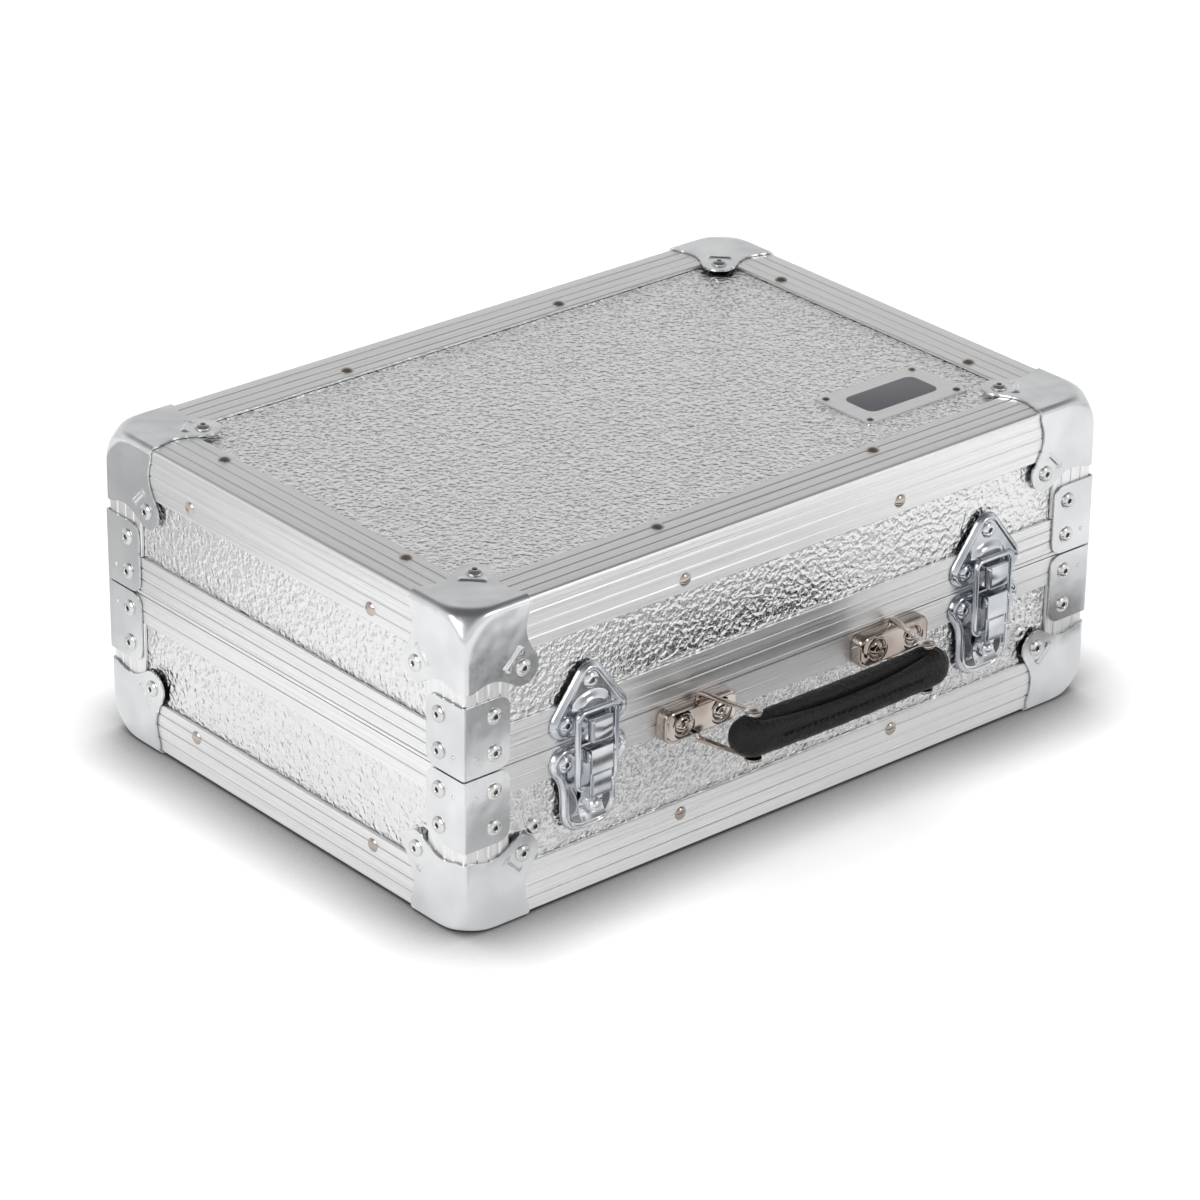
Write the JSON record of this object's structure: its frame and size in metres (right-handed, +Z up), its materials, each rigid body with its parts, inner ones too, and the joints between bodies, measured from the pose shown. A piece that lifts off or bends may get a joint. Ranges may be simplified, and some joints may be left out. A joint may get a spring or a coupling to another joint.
{
  "type": "carrying case",
  "caption": "Hard carrying case with aluminium edge profiles, steel ball corners, draw latches, hinged lid and folding padded handle.",
  "frame": {"origin": "on the standing plane, under the middle of the whole case with its handle and hinges", "axes": "+X along the case's length, +Y from the latch and handle side towards the hinges, +Z up out of the lid"},
  "size_m": [0.3754, 0.3044, 0.1543],
  "materials": {
    "aluminium_profile": "bright extruded aluminium with fine length grooves",
    "stucco_panel": "plywood faced with hammer-embossed aluminium foil",
    "zinc_steel": "bright zinc-plated pressed steel",
    "nickel_steel": "nickel-plated steel with warm reflections",
    "grip_leather": "black grained leather over padding",
    "foam": "charcoal open-cell foam"
  },
  "bodies": {
    "base": {"base_ball_corner_back_left": "zinc_steel", "base_ball_corner_back_right": "zinc_steel", "base_ball_corner_front_left": "zinc_steel", "base_ball_corner_front_right": "zinc_steel", "base_closing_frame": "aluminium_profile", "base_corner_brace_back_left": "zinc_steel", "base_corner_brace_back_right": "zinc_steel", "base_corner_brace_front_left": "zinc_steel", "base_corner_brace_front_right": "zinc_steel", "base_corner_profile_back_left": "aluminium_profile", "base_corner_profile_back_right": "aluminium_profile", "base_corner_profile_front_left": "aluminium_profile", "base_corner_profile_front_right": "aluminium_profile", "base_edge_profile_back": "aluminium_profile", "base_edge_profile_front": "aluminium_profile", "base_edge_profile_left": "aluminium_profile", "base_edge_profile_right": "aluminium_profile", "base_foam_liner": "foam", "base_tray": "stucco_panel", "handle_bracket_left": "nickel_steel", "handle_bracket_right": "nickel_steel", "hinge_leaf_base_left": "zinc_steel", "hinge_leaf_base_right": "zinc_steel", "hinge_pin_left": "zinc_steel", "hinge_pin_right": "zinc_steel", "latch_base_plate_left": "zinc_steel", "latch_base_plate_right": "zinc_steel", "latch_pin_left": "zinc_steel", "latch_pin_right": "zinc_steel"},
    "lid": {"hinge_leaf_lid_left": "zinc_steel", "hinge_leaf_lid_right": "zinc_steel", "latch_catch_plate_left": "zinc_steel", "latch_catch_plate_right": "zinc_steel", "lid_ball_corner_back_left": "zinc_steel", "lid_ball_corner_back_right": "zinc_steel", "lid_ball_corner_front_left": "zinc_steel", "lid_ball_corner_front_right": "zinc_steel", "lid_closing_frame": "aluminium_profile", "lid_corner_brace_back_left": "zinc_steel", "lid_corner_brace_back_right": "zinc_steel", "lid_corner_brace_front_left": "zinc_steel", "lid_corner_brace_front_right": "zinc_steel", "lid_corner_profile_back_left": "aluminium_profile", "lid_corner_profile_back_right": "aluminium_profile", "lid_corner_profile_front_left": "aluminium_profile", "lid_corner_profile_front_right": "aluminium_profile", "lid_edge_profile_back": "aluminium_profile", "lid_edge_profile_front": "aluminium_profile", "lid_edge_profile_left": "aluminium_profile", "lid_edge_profile_right": "aluminium_profile", "lid_foam_pad": "foam", "lid_foam_walls": "foam", "lid_tray": "stucco_panel"},
    "lever_left": {"latch_lever_left": "zinc_steel"},
    "lever_right": {"latch_lever_right": "zinc_steel"},
    "bail_left": {"latch_bail_left": "zinc_steel"},
    "bail_right": {"latch_bail_right": "zinc_steel"},
    "link_left": {"handle_link_left": "nickel_steel"},
    "link_right": {"handle_link_right": "nickel_steel"},
    "grip": {"handle_grip": "grip_leather"}
  },
  "joints": [
    {"name": "lid_hinge", "type": "hinge", "parent": "base", "child": "lid", "pos_m": [0, 0.14883, 0.0764], "axis": [-1, 0, 0], "range_deg": [0, 100]},
    {"name": "latch_lever_left", "type": "hinge", "parent": "base", "child": "lever_left", "pos_m": [-0.1176, -0.11687, 0.0714], "axis": [-1, 0, 0], "range_deg": [0, 95]},
    {"name": "latch_bail_left", "type": "hinge", "parent": "lever_left", "child": "bail_left", "pos_m": [-0.1176, -0.11577, 0.0554], "axis": [-1, 0, 0], "range_deg": [-67, 0]},
    {"name": "latch_lever_right", "type": "hinge", "parent": "base", "child": "lever_right", "pos_m": [0.1176, -0.11687, 0.0714], "axis": [-1, 0, 0], "range_deg": [0, 95]},
    {"name": "latch_bail_right", "type": "hinge", "parent": "lever_right", "child": "bail_right", "pos_m": [0.1176, -0.11577, 0.0554], "axis": [-1, 0, 0], "range_deg": [-67, 0]},
    {"name": "handle_link_left", "type": "hinge", "parent": "base", "child": "link_left", "pos_m": [-0.0575, -0.11287, 0.0675], "axis": [0, 0, 1], "range_deg": [-45, 45]},
    {"name": "handle_grip", "type": "hinge", "parent": "link_left", "child": "grip", "pos_m": [-0.0512, -0.14187, 0.0675], "axis": [0, 0, 1], "range_deg": [-50.5, 50.5]},
    {"name": "handle_link_right", "type": "hinge", "parent": "base", "child": "link_right", "pos_m": [0.0575, -0.11287, 0.0675], "axis": [0, 0, 1], "range_deg": [-45.5, 45.5]}
  ],
  "couplings": [
    {"joint": "latch_bail_left", "follows": "latch_lever_left", "ratio": -0.7},
    {"joint": "latch_bail_right", "follows": "latch_lever_right", "ratio": -0.7},
    {"joint": "handle_grip", "follows": "handle_link_left", "ratio": -1.11},
    {"joint": "handle_link_right", "follows": "handle_link_left", "ratio": 1}
  ]
}
